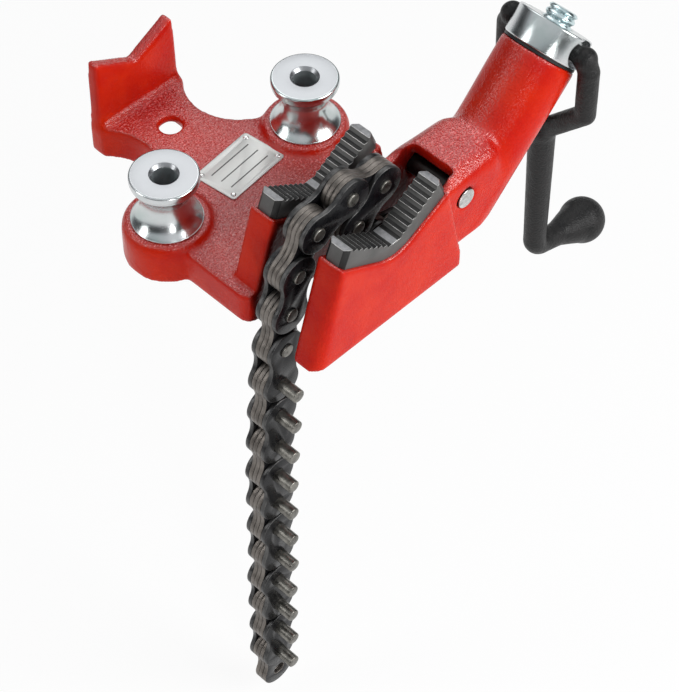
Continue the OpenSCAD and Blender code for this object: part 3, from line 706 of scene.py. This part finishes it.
# Leaf chain: blanked plates with a polished rim, black on their faces, riveted in turn as two outer
# plates and as three inner plates packed side by side. The later pins stand out on one side.
plate_face, tree, shader = rubbed_finish(
    "chain_plate_face", (0.003, 0.003, 0.004), (0.009, 0.009, 0.010),
    (0.2, 0.34), 0.0, 1.6 * mm, 0.06 * mm, 8 * mm)
shader.inputs["Specular IOR Level"].default_value = 0.22
outer_rim = rubbed_finish(
    "outer_plate_rim", (0.03, 0.03, 0.031), (0.11, 0.108, 0.106),
    (0.28, 0.42), 0.85, 0.9 * mm, 0.08 * mm, 6 * mm)[0]
inner_rim, tree, shader = rubbed_finish(
    "inner_plate_rim", (0.10, 0.088, 0.078), (0.23, 0.207, 0.187),
    (0.34, 0.46), 0.8, 0.8 * mm, 0.05 * mm, 7 * mm)
# Blanking leaves fine lines through each plate's thickness.
lines_place = tree.nodes.new("ShaderNodeTexCoord")
stretch = tree.nodes.new("ShaderNodeMapping")
stretch.inputs["Scale"].default_value = (1, 0.05, 1)
lines = tree.nodes.new("ShaderNodeTexNoise")
lines.inputs["Scale"].default_value = 1 / (0.5 * mm)
lines_bump = tree.nodes.new("ShaderNodeBump")
lines_bump.inputs["Distance"].default_value = 0.10 * mm
tree.links.new(lines_place.outputs["Object"], stretch.inputs["Vector"])
tree.links.new(stretch.outputs["Vector"], lines.inputs["Vector"])
tree.links.new(lines.outputs["Fac"], lines_bump.inputs["Height"])
tree.links.new(lines_bump.outputs["Normal"], shader.inputs["Normal"])
pin_finish = rubbed_finish(
    "chain_pin_finish", (0.10, 0.095, 0.085), (0.26, 0.25, 0.225),
    (0.26, 0.4), 0.85, 1.2 * mm, 0.06 * mm, 4 * mm)[0]
rim_w, pin_end_w = 0.4 * mm, 0.8 * mm
for number in range(1, 12):
    outer_body, inner_body = f"link_{2 * number - 1:02d}", f"link_{2 * number:02d}"
    for kind, body, rim, slot in (
            ("outer", outer_body, outer_rim, "chain_black"),
            ("inner", inner_body, inner_rim, "chain_brown")):
        node = f"chain_{kind}_link_{number:02d}"
        link = welded_copy(node, f"{kind}_plates_{number:02d}")
        link_finishes = (plate_face, rim)
        for finish in link_finishes:
            link.data.materials.append(finish)
        for face in link.data.polygons:
            if abs(face.normal.y) < 0.9:
                face.material_index = link_finishes.index(rim)
        bevel_edges(link, lambda edge: is_ridge(edge, 50), rim_w, 2, link_finishes.index(rim))
        shade(link, 35)
        stand_in(link, body, node)
    node = f"chain_pins_{number:02d}"
    pins = welded_copy(node, f"rivet_pins_{number:02d}")
    bevel_edges(pins, lambda edge: is_ridge(edge, 60), pin_end_w, 4)
    shade(pins, 35)
    finish_piece(pins, outer_body, pin_finish, node)


# Nameplate: a stamping of thin brushed aluminium with plain ruled lines. Four small drive rivets
# hold it to the plate.
brushed, tree, shader = rubbed_finish(
    "brushed_plate", (0.60, 0.61, 0.59), (0.66, 0.67, 0.65),
    (0.36, 0.44), 0.4, 0.5 * mm, 0.02 * mm, 10 * mm)
name_low, name_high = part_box("nameplate")
name_middle = (name_low + name_high) / 2
name_turn = math.radians(6)
line_step, line_half, line_reach, block_half = 7 * mm, 0.4 * mm, 15.5 * mm, 8.5 * mm
ruled = tree.nodes.new("ShaderNodeTexCoord")
square_on = tree.nodes.new("ShaderNodeMapping")
square_on.vector_type = "TEXTURE"
square_on.inputs["Location"].default_value = (name_middle.x, name_middle.y, 0)
square_on.inputs["Rotation"].default_value = (0, 0, name_turn)
split = tree.nodes.new("ShaderNodeSeparateXYZ")
tree.links.new(ruled.outputs["Object"], square_on.inputs["Vector"])
tree.links.new(square_on.outputs["Vector"], split.inputs[0])
across = math_node(tree, "ABSOLUTE", split.outputs["X"])
along = math_node(tree, "ABSOLUTE", split.outputs["Y"])
from_line = math_node(tree, "PINGPONG", along, line_step / 2)
ink = math_node(tree, "LESS_THAN", from_line, line_half)
for distance, reach in ((across, line_reach), (along, block_half)):
    ink = math_node(tree, "MULTIPLY", ink, math_node(tree, "LESS_THAN", distance, reach))
tint(tree, shader, ink, (0.09, 0.09, 0.09))
plate = welded_copy("nameplate", "ruled_nameplate")
bevel_edges(plate, lambda edge: is_ridge(edge, 60), 0.25 * mm, 2)
shade(plate, 35)
finish_piece(plate, "base", brushed, "nameplate")

bright_steel = rubbed_finish(
    "bright_steel", (0.42, 0.42, 0.41), (0.72, 0.72, 0.71),
    (0.2, 0.36), 0.95, 1.0 * mm, 0.05 * mm, 3 * mm)[0]
rivets = welded_copy("nameplate_rivets", "drive_rivets")
bevel_edges(rivets, lambda edge: is_ridge(edge, 25), 0.3 * mm, 3)
shade(rivets, 40)
finish_piece(rivets, "base", bright_steel, "nameplate_rivets")


# Guide pin: a ground steel pin pressed through the arm's root, which the chain runs under. Its
# middle is painted dark, as painted shade inside the arm's mouth.
pin_painted_shade = rubbed_finish(
    "pin_painted_shade_steel", (0.02, 0.019, 0.018), (0.05, 0.048, 0.045),
    (0.3, 0.5), 0.7, 1.2 * mm, 0.06 * mm, 6 * mm)[0]
pin_finishes = (bright_steel, pin_painted_shade)
pin = welded_copy("guide_pin", "guide_cross_pin")
for finish in pin_finishes:
    pin.data.materials.append(finish)
# The faces along the pin take the painted shade; its ends stay bright.
for face in pin.data.polygons:
    if abs(face.normal.y) < 0.5:
        face.material_index = pin_finishes.index(pin_painted_shade)
bevel_edges(pin, lambda edge: is_ridge(edge, 60), 0.5 * mm, 3, pin_finishes.index(bright_steel))
shade(pin, 40)
stand_in(pin, "base", "guide_pin")

# Jaw dowels and thrust washer: their solids keep their shapes. The dowels are ground steel, out of
# sight in the jaws' seats, and the nut turns on the washer, a thin ring of blackened steel.
black_oxide = rubbed_finish(
    "black_oxide", (0.006, 0.006, 0.006), (0.016, 0.016, 0.016),
    (0.4, 0.6), 0.3, 1.5 * mm, 0.05 * mm)[0]
for node, finish in (("jaw_dowels", bright_steel), ("thrust_washer", black_oxide)):
    nodes[node].data.materials.clear()
    nodes[node].data.materials.append(finish)
